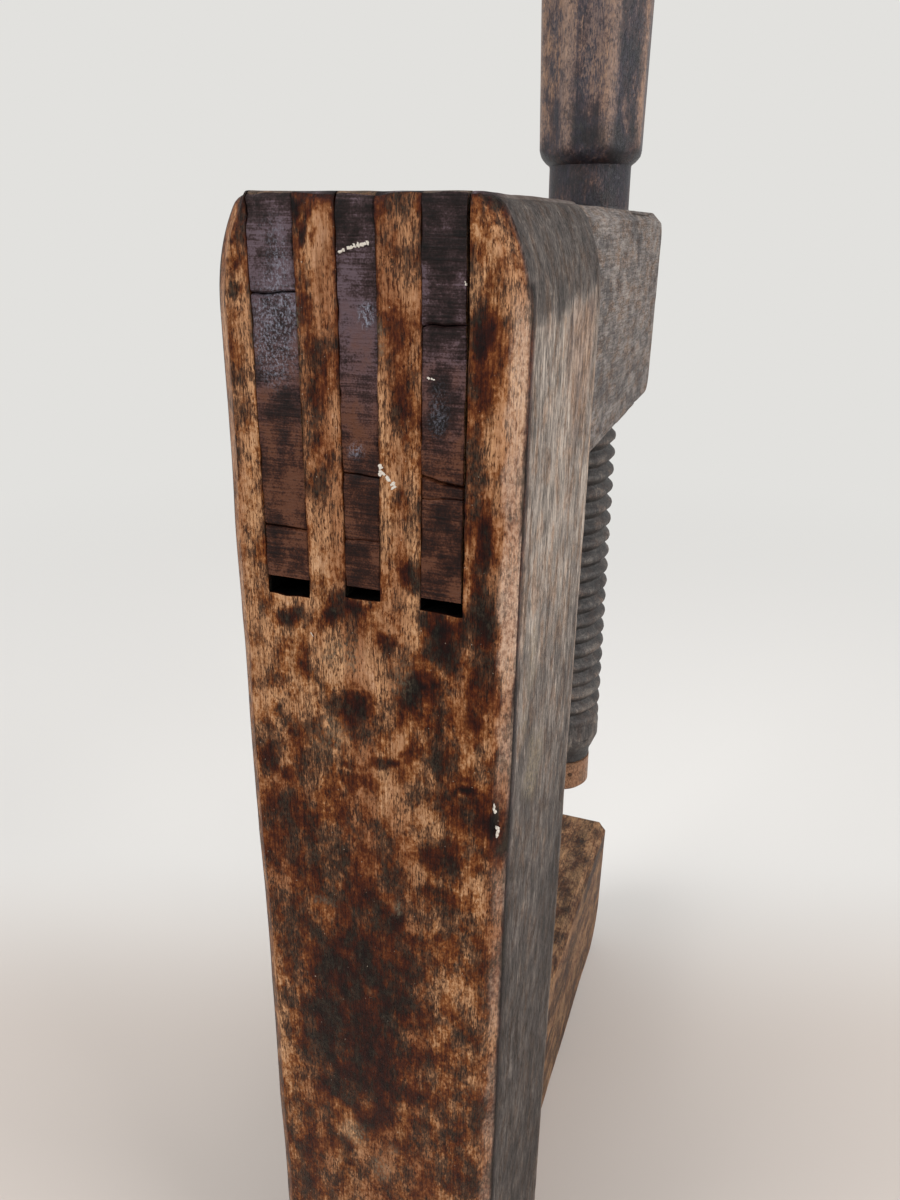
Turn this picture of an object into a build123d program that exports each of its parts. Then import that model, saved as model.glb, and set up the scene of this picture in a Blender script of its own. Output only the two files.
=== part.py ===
"""Antique joiner's clamp in millimetres: a beech U-frame and a wooden screw.

X runs across the frame's thickness, Y from the back of the spine to the tips of
the arms, and Z upwards. The frame stands on the lower arm, with the origin below
the middle of its reach.
"""

import os
from math import atan, atan2, cos, degrees, radians, sin, sqrt

from build123d import *

# Frame
frame_height = 337.0
reach = 225.0
spine_width = 60.0
spine_depth = 62.0
end_inset = 6.0
end_rise = 20.0
end_corner_radius = 2.5
spine_chamfer = 3.3
cheek_arris = 1.2

# Comb joints: three tenons of each arm between the four fingers of the spine,
# sawn by hand, so that no two are alike
left_cheek = 8.7
tenon_widths = (9.2, 7.4, 8.3)
finger_widths = (8.0, 8.4)
tenon_end_gap = 2.0
comb_gap = 0.1

# Arms
arm_root_height = 70.5
arm_tip_height = 67.0
arm_chamfer = 3.2
upper_tip_radius = 9.0
jaw_tip_radius = 4.0
heel_radius = 20.0

# Screw: one billet, turned to a neck, a thread and a plain spigot. Ring grooves of the
# same pitch and depth stand for the helical thread
screw_throat = 123.0
screw_lean = 1.1
thread_radius = 14.3
thread_root_radius = 12.0
thread_pitch = 6.35
thread_turns = 29
bore_clearance = 0.3
bore_flare = 1.5
neck_radius = 13.6
neck_length = 13.5
threaded_length = 201.0
nose_length = 7.0
collar_length = 3.5

# Octagonal handle, measured over its corners
handle_sides = 8
handle_length = 101.0
handle_foot_radius = 17.7
handle_head_radius = 19.6
handle_foot_curve = 7.5
handle_head_curve = 6.0
handle_arris_turn = 28.4
rounding_steps = 3

# Shoe: a turned button that turns freely on the spigot, held by two pins
shoe_radius = 11.3
shoe_height = 13.0
shoe_foot_chamfer = 1.5
spigot_radius = 6.5
spigot_length = 9.5
spigot_clearance = 0.08
thrust_gap = 0.3
groove_radius = 4.6
groove_width = 2.5
groove_height = 4.0
pin_radius = 1.0
pin_groove_gap = 0.15
pin_hole_clearance = 0.02

# Places that follow from the sizes
back_y = -reach / 2
front_y = back_y + spine_depth
tip_y = back_y + reach
arm_thickness = sum(tenon_widths) + sum(finger_widths)
arm_left = -spine_width / 2 + left_cheek
arm_middle = arm_left + arm_thickness / 2
middle_tenon_left = arm_left + tenon_widths[0] + finger_widths[0]
right_tenon_left = middle_tenon_left + tenon_widths[1] + finger_widths[1]
tenon_lefts = (arm_left, middle_tenon_left, right_tenon_left)
slot_depth = arm_root_height + tenon_end_gap

# The screw's own plane: its origin is where the axis leaves the top of the upper
# arm, and its normal points up the axis, towards the handle
lean = radians(screw_lean)
screw_plane = Plane(
    origin=(arm_middle, front_y + screw_throat, frame_height),
    x_dir=(cos(lean), 0, sin(lean)),
    z_dir=(-sin(lean), 0, cos(lean)),
)
screw_axis = Axis(screw_plane.origin, screw_plane.z_dir)
bore_radius = thread_radius + bore_clearance
jaw_taper = (arm_root_height - arm_tip_height) / (reach - spine_depth)
bore_depth = arm_root_height - jaw_taper * screw_throat
screw_section = Plane(
    origin=screw_plane.origin, x_dir=screw_plane.x_dir, z_dir=-screw_plane.y_dir
)
thread_start = neck_radius - thread_radius
nose_end = -threaded_length - nose_length
collar_end = nose_end - collar_length
shoe_top = collar_end - thrust_gap
shoe_bottom = shoe_top - shoe_height
spigot_end = collar_end - spigot_length
groove_z = spigot_end + groove_height
handle_foot = neck_length
handle_head = handle_foot + handle_length
flat_widening = (handle_head_radius - handle_foot_radius) * cos(radians(180 / handle_sides))
handle_taper = degrees(atan(flat_widening / handle_length))


def worn_round(start, end):
    """Step along the arc that leaves start parallel to the axis and ends at end.

    Both are points of a turned profile, as (radius, height).
    """
    drop = start[0] - end[0]
    rise = end[1] - start[1]
    radius = (drop**2 + rise**2) / (2 * drop)
    whole_turn = atan2(rise, radius - drop)
    turns = [whole_turn * step / rounding_steps for step in range(1, rounding_steps + 1)]
    return [(start[0] - radius * (1 - cos(turn)), start[1] + radius * sin(turn)) for turn in turns]


def arm_profile(outside_z, jaw_side, outside_radius, jaw_radius):
    """Draw the side view of the part of an arm that stands clear of the spine.

    outside_z is the height of its flat outside, and jaw_side is 1 where the jaw face
    lies above the outside and -1 where it lies below. The jaw face rises towards the
    outside as it nears the tip.
    """
    jaw_root_z = outside_z + jaw_side * arm_root_height
    jaw_tip_z = outside_z + jaw_side * arm_tip_height
    with BuildSketch(Plane.YZ.offset(arm_left)) as profile:
        with BuildLine():
            Polyline(
                (front_y, jaw_root_z),
                (tip_y, jaw_tip_z),
                (tip_y, outside_z),
                (front_y, outside_z),
                close=True,
            )
        make_face()
        fillet(profile.vertices().sort_by_distance((tip_y, outside_z))[0], outside_radius)
        fillet(profile.vertices().sort_by_distance((tip_y, jaw_tip_z))[0], jaw_radius)
    return profile.sketch


def side_edges(part):
    """Return the edges all round an arm's two sides, apart from those at its root."""
    edges = part.faces().filter_by(Axis.X).edges()
    return edges.filter_by(lambda edge: edge.center().Y > front_y + arm_chamfer)


with BuildPart() as spine:
    # Front view: straight sides, worn round towards both ends
    with BuildSketch(Plane.XZ.offset(-back_y)):
        with BuildLine():
            side = Line((spine_width / 2, end_rise), (spine_width / 2, frame_height - end_rise))
            shoulder = TangentArc(
                side @ 1, (spine_width / 2 - end_inset, frame_height), tangent=(0, 1)
            )
            Line(shoulder @ 1, (0, frame_height))
            foot = TangentArc(side @ 0, (spine_width / 2 - end_inset, 0), tangent=(0, -1))
            Line(foot @ 1, (0, 0))
            mirror(about=Plane.YZ)
        make_face()
    extrude(amount=-spine_depth)
    back_edges = spine.faces().sort_by(Axis.Y)[0].edges()
    chamfer(back_edges.filter_by(lambda edge: abs(edge.center().X) > spine_width / 4), spine_chamfer)
    front_edges = spine.faces().sort_by(Axis.Y)[-1].edges()
    chamfer(front_edges.filter_by(lambda edge: abs(edge.center().X) > spine_width / 4), cheek_arris)
    end_corners = spine.edges().filter_by(Axis.Y)
    fillet(end_corners.filter_by(lambda edge: abs(edge.center().X) > spine_width / 4), end_corner_radius)
    # Slots for the tenons, from both ends
    for left, width in zip(tenon_lefts, tenon_widths):
        middle_x = left + width / 2
        with BuildSketch(Plane.XZ.offset(-back_y)):
            with Locations((middle_x, slot_depth / 2), (middle_x, frame_height - slot_depth / 2)):
                Rectangle(width + 2 * comb_gap, slot_depth)
        extrude(amount=-spine_depth, mode=Mode.SUBTRACT)
spine.part.label = "spine"

with BuildPart() as upper_arm:
    side = arm_profile(frame_height, -1, upper_tip_radius, upper_tip_radius)
    extrude(side, amount=arm_thickness, dir=(1, 0, 0))
    chamfer(side_edges(upper_arm.part), arm_chamfer)
    for left, width in zip(tenon_lefts, tenon_widths):
        with BuildSketch(Plane.YZ.offset(left)):
            with Locations((back_y + spine_depth / 2, frame_height - arm_root_height / 2)):
                Rectangle(spine_depth, arm_root_height)
        extrude(amount=width)
    # Bore for the screw, flared at both mouths
    with BuildSketch(screw_section):
        with BuildLine():
            Polyline(
                (0, arm_chamfer),
                (bore_radius + bore_flare + arm_chamfer, arm_chamfer),
                (bore_radius, -bore_flare),
                (bore_radius, -bore_depth + bore_flare),
                (bore_radius + bore_flare + arm_chamfer, -bore_depth - arm_chamfer),
                (0, -bore_depth - arm_chamfer),
                close=True,
            )
        make_face()
    revolve(axis=screw_axis, mode=Mode.SUBTRACT)
upper_arm.part.label = "upper_arm"

with BuildPart() as lower_arm:
    side = arm_profile(0, 1, heel_radius, jaw_tip_radius)
    extrude(side, amount=arm_thickness, dir=(1, 0, 0))
    chamfer(side_edges(lower_arm.part), arm_chamfer)
    for left, width in zip(tenon_lefts, tenon_widths):
        with BuildSketch(Plane.YZ.offset(left)):
            with Locations((back_y + spine_depth / 2, arm_root_height / 2)):
                Rectangle(spine_depth, arm_root_height)
        extrude(amount=width)
lower_arm.part.label = "lower_arm"

with BuildPart() as screw:
    # The octagon widens towards its head, and the turned envelope rounds both ends
    with BuildSketch(screw_plane.offset(handle_foot)):
        RegularPolygon(handle_foot_radius, handle_sides, rotation=handle_arris_turn)
    extrude(amount=handle_length, taper=-handle_taper)
    with BuildSketch(screw_section):
        with BuildLine():
            foot_start = (handle_foot_radius, handle_foot + handle_foot_curve)
            head_start = (handle_head_radius, handle_head - handle_head_curve)
            Polyline(
                (0, handle_foot),
                *reversed(worn_round(foot_start, (neck_radius, handle_foot))),
                foot_start,
                head_start,
                *worn_round(head_start, (handle_head_radius - handle_head_curve, handle_head)),
                (0, handle_head),
                close=True,
            )
        make_face()
    revolve(axis=screw_axis, mode=Mode.INTERSECT)
    # Neck, thread, nose, collar and grooved spigot
    crest_heights = [thread_start - turn * thread_pitch for turn in range(thread_turns + 1)]
    thread_rings = [
        point
        for crest_z in crest_heights[:-1]
        for point in ((thread_radius, crest_z), (thread_root_radius, crest_z - thread_pitch / 2))
    ]
    with BuildSketch(screw_section):
        with BuildLine():
            Polyline(
                (0, handle_foot),
                (neck_radius, handle_foot),
                (neck_radius, 0),
                *thread_rings,
                (thread_radius, crest_heights[-1]),
                (thread_radius, -threaded_length),
                (shoe_radius, nose_end),
                (shoe_radius, collar_end),
                (spigot_radius, collar_end),
                (spigot_radius, groove_z + groove_width / 2),
                (groove_radius, groove_z + groove_width / 2),
                (groove_radius, groove_z - groove_width / 2),
                (spigot_radius, groove_z - groove_width / 2),
                (spigot_radius, spigot_end),
                (0, spigot_end),
                close=True,
            )
        make_face()
    revolve(axis=screw_axis)
screw.part.label = "screw"

pin_offset = groove_radius + pin_groove_gap + pin_radius
pin_length = 2 * sqrt(shoe_radius**2 - (pin_offset + pin_radius) ** 2)
pin_planes = {
    name: Plane(
        origin=screw_plane.from_local_coords((side * pin_offset, 0, groove_z)),
        x_dir=screw_plane.x_dir,
        z_dir=screw_plane.y_dir,
    )
    for name, side in (("shoe_pin_left", -1), ("shoe_pin_right", 1))
}

with BuildPart() as shoe:
    with BuildSketch(screw_section):
        with BuildLine():
            Polyline(
                (0, shoe_bottom),
                (shoe_radius - shoe_foot_chamfer, shoe_bottom),
                (shoe_radius, shoe_bottom + shoe_foot_chamfer),
                (shoe_radius, shoe_top),
                (spigot_radius + spigot_clearance, shoe_top),
                (spigot_radius + spigot_clearance, spigot_end - thrust_gap),
                (0, spigot_end - thrust_gap),
                close=True,
            )
        make_face()
    revolve(axis=screw_axis)
    with BuildSketch(*pin_planes.values()):
        Circle(pin_radius + pin_hole_clearance)
    extrude(amount=shoe_radius, both=True, mode=Mode.SUBTRACT)
shoe.part.label = "shoe"

pins = []
for name, plane in pin_planes.items():
    with BuildPart() as pin:
        with BuildSketch(plane):
            Circle(pin_radius)
        extrude(amount=pin_length / 2, both=True)
    pin.part.label = name
    pins.append(pin)

os.makedirs("parts", exist_ok=True)
for piece in (spine, upper_arm, lower_arm, screw, shoe, *pins):
    export_step(piece.part, f"parts/{piece.part.label}.step")
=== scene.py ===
"""Looks of the old wooden clamp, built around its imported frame.

Shapes are worked out in millimetres in the row frame, with X across the frame, Y from
the back of the spine to the tips of the arms and Z upwards. They turn to metres when
a mesh is made.
"""

import math

import bpy
import numpy as np
from mathutils import Matrix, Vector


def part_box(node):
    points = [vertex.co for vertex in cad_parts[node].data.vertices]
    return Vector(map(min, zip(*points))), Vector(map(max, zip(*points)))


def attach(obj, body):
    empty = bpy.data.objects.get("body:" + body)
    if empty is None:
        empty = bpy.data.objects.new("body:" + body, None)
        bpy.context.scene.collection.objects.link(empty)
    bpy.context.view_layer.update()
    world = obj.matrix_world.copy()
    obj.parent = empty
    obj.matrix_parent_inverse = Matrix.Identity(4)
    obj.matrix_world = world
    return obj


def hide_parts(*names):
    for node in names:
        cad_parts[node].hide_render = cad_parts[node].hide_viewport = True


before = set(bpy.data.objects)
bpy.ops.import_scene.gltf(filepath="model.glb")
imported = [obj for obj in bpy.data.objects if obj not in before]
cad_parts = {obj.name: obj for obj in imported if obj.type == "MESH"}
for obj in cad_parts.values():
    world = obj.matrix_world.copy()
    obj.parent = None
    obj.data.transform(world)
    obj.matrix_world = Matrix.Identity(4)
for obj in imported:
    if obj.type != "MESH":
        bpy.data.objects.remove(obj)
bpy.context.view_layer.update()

MM = 0.001

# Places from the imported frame
spine_low, spine_high = (np.array(corner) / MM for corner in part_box("spine"))
BACK, FRONT, TIP = spine_low[1], spine_high[1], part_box("upper_arm")[1][1] / MM
SIDE, TOP = spine_high[0], spine_high[2]

# The comb joint: the left and right border of each tenon, half of the gap there, how
# far each tenon's end lies below the fingers, how much deeper its slot was chopped, and
# the mesh lines beside the borders
COMB_EDGES = np.array([-21.3, -12.1, -4.1, 3.3, 11.7, 20.0])
TENONS = COMB_EDGES.reshape(3, 2)
HALF_GAPS = (0.05, 0.06, 0.08, 0.07, 0.08, 0.3)
TENON_SUNK, SLOT_EXTRA, SLOT_DEPTH = (0.1, 0.22, 0.16), (1.5, 0.0, 0.3), 72.5
COMB_LINES = np.concatenate([COMB_EDGES + d for d in (-0.9, -0.35, 0, 0.35, 0.9)])

# The arms' height at root and tip, and the radii of the tip, outside and at the jaw
ARM_ROOT, ARM_TIP = 70.5, 67.0
UPPER_TIP_RADII, LOWER_TIP_RADII = (9.0, 9.0), (20.0, 4.0)
# Half the width of the square hole in the upper arm's grid, and how far the lines are
# moved that make it round
HOLE, HOLE_REACH = 12.0, 19.4

# Rounding and chamfers
END_INSET, END_RISE, END_CORNER = 6.0, 20.0, 2.5
SPINE_CHAMFER, FRONT_ARRIS, ARM_CHAMFER = 3.3, 1.2, 3.2
END_WEAR, END_WEAR_DEPTH = 1.8, 0.7
# Where the crack beside each chamfer starts, and the angle of an edge that isn't smooth
CRACK_TOP = 323
SHARP_ANGLE = math.radians(38)

# Screw, along its own leaning axis from where it leaves the upper arm
SCREW_X, SCREW_Y, LEAN = -0.65, FRONT + 123.0, math.radians(1.1)
PITCH, CREST, ROOT, BORE = 6.35, 14.3, 12.0, 14.6
# The thread's wave, from 0 to 1, is at its root below the first and full above the second
ROOT_SHARE, CREST_SHARE = 0.1, 0.85
NECK, NECK_LENGTH = 13.6, 13.5
THREAD_TOP, THREAD_LENGTH, THREAD_FADE = -0.3, 200.0, -188.0
ROWS_PER_TURN, SCREW_SIDES = 10, 64
HANDLE_FOOT, HANDLE_HEAD = 17.7, 19.6
HANDLE_TOP, FOOT_CURVE, HEAD_CURVE = 114.5, 7.5, 6.0
HANDLE_TURN = math.radians(28.4)

LATTICE = np.random.default_rng(41).uniform(-1, 1, (32, 32, 32, 3))


# Shapes


def noise(points, size, shift=0.0):
    """Smooth random vectors from -1 to 1, in bumps of about `size` mm."""
    place = points / np.asarray(size, float) + 9.7 + shift
    base = np.floor(place).astype(int)
    part = place - base
    part = part * part * (3 - 2 * part)
    total = np.zeros_like(points)
    for corner in np.ndindex(2, 2, 2):
        weight = np.prod(np.where(corner, part, 1 - part), axis=1)
        i, j, k = ((base + corner) % len(LATTICE)).T
        total += weight[:, None] * LATTICE[i, j, k]
    return total


def step_between(value, low, high):
    """0 at or below low, 1 at or above high, and smooth between them."""
    t = np.clip((value - low) / (high - low), 0, 1)
    return t * t * (3 - 2 * t)


def ruled(marks, step):
    """Lines through all marks, with the gaps between them filled to `step` mm."""
    marks = np.unique(np.round(marks, 3))
    marks = marks[np.concatenate(([True], np.diff(marks) > 0.05))]
    parts = [
        np.linspace(a, b, max(1, math.ceil((b - a) / step)), endpoint=False)
        for a, b in zip(marks, marks[1:])
    ]
    return np.concatenate([*parts, marks[-1:]])


def grid_shell(xs, ys, zs, solid):
    """The outside of the solid cells of a grid: points, quads and each quad's axis."""
    shape = (len(xs), len(ys), len(zs))
    index = np.arange(np.prod(shape)).reshape(shape)
    padded = np.pad(solid, 1)
    quads, axes = [], []
    for axis in range(3):
        cells = np.moveaxis(padded, axis, 0)[:, 1:-1, 1:-1]
        lines = np.moveaxis(index, axis, 0)
        for facing_up in (True, False):
            before, after = cells[:-1], cells[1:]
            walls = before & ~after if facing_up else ~before & after
            i, j, k = np.nonzero(walls)
            ring = [lines[i, j, k], lines[i, j + 1, k], lines[i, j + 1, k + 1], lines[i, j, k + 1]]
            if facing_up == (axis == 1):
                ring.reverse()
            quads.append(np.stack(ring, axis=1))
            axes.append(np.full(len(i), axis))
    quads, axes = np.concatenate(quads), np.concatenate(axes)
    used, quads = np.unique(quads, return_inverse=True)
    points = np.stack(np.meshgrid(xs, ys, zs, indexing="ij"), axis=-1).reshape(-1, 3)
    return points[used], quads.reshape(-1, 4), axes


def cell_centres(*lines):
    """The middle of each cell of a grid, one array for each direction."""
    return np.meshgrid(*((line[1:] + line[:-1]) / 2 for line in lines), indexing="ij")


def in_tenon(x, borders, margin=0.0):
    """True between the borders of a tenon, and up to a margin beside them."""
    return (x > borders[0] - margin) & (x < borders[1] + margin)


def end_inset(end):
    """How far the curved ends of the spine draw its sides in, at a distance from the end."""
    arc = (END_INSET**2 + END_RISE**2) / (2 * END_INSET)
    return arc - np.sqrt(arc**2 - np.clip(END_RISE - end, 0, None) ** 2)


def cut_corner(a, b, size):
    """How far a chamfer moves a point inwards that is a and b mm from two faces."""
    return np.clip(size - a, 0, None) * np.clip(size - b, 0, None) / (2 * size)


def open_rim(distance, size, nominal):
    """Moves the mesh lines near an edge, so that one lies on the rim of its chamfer."""
    fade = np.clip(2 - distance / nominal, 0, 1)
    return distance + (size / nominal - 1) * np.minimum(distance, nominal) * fade


def soften(a, b, size, depth):
    """How far a worn, rounded edge lies below two faces: `depth` mm at its corner."""
    near = np.clip(1 - a / size, 0, 1) * np.clip(1 - b / size, 0, 1)
    return depth * near**1.5


def round_corner(a, b, radius):
    """Distances from two faces, once the corner between them has that radius."""
    u, v = radius - a, radius - b
    inside = (u > 0) & (v > 0)
    scale = np.where(inside, np.maximum(u, v) / np.maximum(np.hypot(u, v), 1e-9), 1)
    return np.where(inside, radius - u * scale, a), np.where(inside, radius - v * scale, b)


def blob(points, x, z, rx, rz, ragged=0.35):
    """1 in the middle of a ragged patch on the back, 0 outside it."""
    shift = noise(points, (4.0, 50.0, 5.0), x + 2.3 * z)[:, 0] * ragged
    away = np.hypot((points[:, 0] - x) / rx, (points[:, 2] - z) / rz) + shift
    return 1 - step_between(away, 0.45, 1.15)


# Dents and chips in the back: x, z, half width, half height, depth
BACK_DENTS = (
    (-23, 334, 3.5, 2.5, 0.7), (-24.2, 325, 1, 1.1, 0.6), (-24.4, 320.5, 0.9, 1.1, 0.6),
    (-10.2, 332, 1.3, 4.2, 0.35), (5.9, 326, 1.6, 1, 0.55), (-8.9, 305, 1, 4, 0.3),
    (7, 303, 1.3, 6, 0.25), (-16.5, 309, 1.4, 2.5, 0.25), (0.8, 317, 1.4, 2, 0.2),
    (-1.5, 293.5, 1.6, 1.6, 0.3), (15, 302, 2, 3, 0.35), (13.5, 295, 1.5, 2, 0.3),
    (28, 318, 1.5, 3, 0.35), (27.5, 283, 1.2, 5, 0.3), (-4.5, 251.5, 6, 4, 0.3),
    (-3.5, 241, 6.5, 3, 0.4), (28.5, 221, 1.8, 4.5, 0.5), (-12.8, 188, 4, 1.5, 0.2),
    (-27.5, 247, 1.5, 6, 0.3), (-28.5, 285, 1, 4, 0.4), (-28.8, 205, 1.2, 7, 0.4),
    (10, 160, 5, 6, 0.3), (-8, 105, 7, 8, 0.35), (14, 60, 8, 10, 0.35), (-15, 25, 5, 8, 0.4),
)

# Cracks across the ends of the upper tenons: tenon, z, rise to the right, depth
TENON_CRACKS = (
    (0, 320.3, 0.2, 1.5), (0, 276.8, -0.3, 1.1), (1, 288.7, -0.2, 0.8), (1, 276.3, 0.3, 0.35),
    (2, 316.2, 0.3, 1.1), (2, 289.2, -0.8, 1.4), (2, 286.2, 0.4, 0.4),
)


def weather(p):
    """Shape shared by the spine and the tenons: end curves, chamfers, wear and dents.

    The spine and the tenons pass through the same sums, so they still fit together.
    """
    p = p.copy()
    end = np.minimum(p[:, 2], TOP - p[:, 2])
    inset = end_inset(end)
    outer = SIDE - inset
    for side, edge in ((-1, COMB_EDGES[0]), (1, COMB_EDGES[-1])):
        beyond = np.clip(side * (p[:, 0] - edge), 0, None)
        p[:, 0] -= side * beyond * inset / (SIDE - side * edge)
    upper = p[:, 2] > TOP / 2
    for side in (-1, 1):
        a, b = round_corner(outer - side * p[:, 0], end, END_CORNER)
        p[:, 0] = side * (outer - a)
        end = b
    p[:, 2] = np.where(upper, TOP - end, end)
    rows = np.stack([np.full(len(p), 40.0), np.zeros(len(p)), p[:, 2]], axis=1)
    size = SPINE_CHAMFER + 0.6 * noise(rows, (90.0, 90.0, 22.0))[:, 0]
    p[:, 1] = BACK + open_rim(p[:, 1] - BACK, size, SPINE_CHAMFER)
    for side in (-1, 1):
        gap = outer - side * p[:, 0]
        gap = np.where(gap < SIDE / 2, open_rim(gap, size, SPINE_CHAMFER), gap)
        move = cut_corner(gap, p[:, 1] - BACK, size)
        p[:, 0] = side * (outer - gap - move)
        p[:, 1] += move
        move = cut_corner(gap, FRONT - p[:, 1], FRONT_ARRIS) * (p[:, 1] < FRONT + 0.01)
        p[:, 0] -= side * move
        p[:, 1] -= move
    # The end's back edge is worn round
    ragged = 0.75 + 0.6 * noise(p, (3.0, 60.0, 60.0))[:, 1]
    move = soften(p[:, 1] - BACK, end, END_WEAR, END_WEAR_DEPTH) * ragged
    p[:, 1] += move
    p[:, 2] += np.where(upper, -move, move)
    # Hand-sawn borders aren't quite straight, and their edges are worn
    straight = np.clip((SIDE - np.abs(p[:, 0])) / 6, 0, 1)
    p[:, 0] += 0.16 * straight * noise(p, (90.0, 40.0, 22.0))[:, 0]
    on_back = np.clip(1 - (p[:, 1] - BACK) / 4, 0, 1)
    for x, z, rx, rz, depth in BACK_DENTS:
        p[:, 1] += depth * on_back * blob(p, x, z, rx, rz)
    return p


def relief(p, low, high):
    """Uneven planed and handled faces, kept inside the CAD solid's box."""
    centre, half = (low + high) / 2, (high - low) / 2
    p = centre + (p - centre) * (1 - 0.2 / half)
    p = p + 0.13 * noise(p, (13.0, 17.0, 24.0)) + 0.05 * noise(p, (3.2, 4.0, 5.5))
    return np.clip(p, low, high)


def part_gaps(p, on_edge, at_tenon, sign):
    """Opens the borders of the comb: sign is 1 for tenons, -1 for the fingers."""
    for number, edge in enumerate(COMB_EDGES):
        there = np.isclose(on_edge, edge) & at_tenon
        inward = 1 if number % 2 == 0 else -1
        ragged = 1 + 0.6 * noise(p[there], (9.0, 30.0, 4.0), number)[:, 0]
        p[there, 0] += sign * inward * HALF_GAPS[number] * ragged
    return p


def edge_wear(flat, p, at_tenon):
    """Rubs the edges along the comb's borders on the back."""
    near = np.min(np.abs(flat[:, :1] - COMB_EDGES[None]), axis=1)
    wear = np.clip(1 - near / 0.6, 0, 1) ** 2 * np.clip(1 - (flat[:, 1] - BACK) / 2, 0, 1)
    ragged = np.clip(0.1 + 0.3 * noise(flat, (2.5, 30.0, 3.0), 5)[:, 2], 0, None)
    p[:, 1] += wear * ragged * at_tenon
    return p


def spine_shape():
    """The spine: flat points, worn points, quads and the axis that each quad faces."""
    rims = np.array([0, 0.6, 1.5, 2.4, SPINE_CHAMFER, 4.6])
    xs = ruled([*COMB_LINES, *(SIDE - rims), *(rims - SIDE)], 1.15)
    groove = SPINE_CHAMFER + np.array([0, 0.2, 0.45, 0.9, 1.25])
    near_back = BACK + np.array([0, 0.4, 1.2, 2.2, *groove])
    ys = ruled([*near_back, FRONT - 1.2, FRONT - 0.6, FRONT], 2.3)
    ends = np.array([0, 0.4, 1.0, 1.8, 2.6, SLOT_DEPTH - 0.5, SLOT_DEPTH, SLOT_DEPTH + 0.5])
    zs = ruled([*ends, *(TOP - ends)], 1.35)
    cx, _, cz = cell_centres(xs, ys, zs)
    solid = np.ones(cx.shape, bool)
    for tenon in TENONS:
        solid &= ~(in_tenon(cx, tenon) & (np.minimum(cz, TOP - cz) < SLOT_DEPTH))
    flat, quads, axes = grid_shell(xs, ys, zs, solid)
    at_tenon = np.minimum(flat[:, 2], TOP - flat[:, 2]) < SLOT_DEPTH + 0.01
    p = flat.copy()
    # Each slot was chopped to its own depth
    for number, tenon in enumerate(TENONS):
        inside = in_tenon(p[:, 0], tenon, 0.1)
        ragged = SLOT_EXTRA[number] + 0.35 * noise(p, (3.0, 20.0, 90.0), 2 * number)[:, 1]
        for end in (SLOT_DEPTH, TOP - SLOT_DEPTH):
            near = np.clip(1 - np.abs(p[:, 2] - end) / 9, 0, 1) * inside
            p[:, 2] += near * ragged * (1 if end < TOP / 2 else -1)
    p = weather(p)
    p = part_gaps(p, flat[:, 0], at_tenon, -1)
    p = edge_wear(flat, p, at_tenon)
    # A crack runs down beside each of the chamfers
    crack = np.clip(1 - np.abs(flat[:, 1] - BACK - SPINE_CHAMFER - 0.55) / 0.5, 0, 1)
    crack *= (flat[:, 2] < CRACK_TOP) & (np.abs(flat[:, 0]) > SIDE - 0.1)
    p[:, 0] -= np.sign(p[:, 0]) * crack * (0.4 + 0.25 * noise(flat, (90, 90, 12), 21)[:, 0])
    return flat, relief(p, spine_low, spine_high), quads, axes


def thread_height(turn):
    """How far the thread stands at a part of a turn: 0 at its root, 1 at its crest."""
    wave = 1 - np.abs(2 * (turn % 1) - 1)
    return np.clip((wave - ROOT_SHARE) / (CREST_SHARE - ROOT_SHARE), 0, 1)


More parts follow.
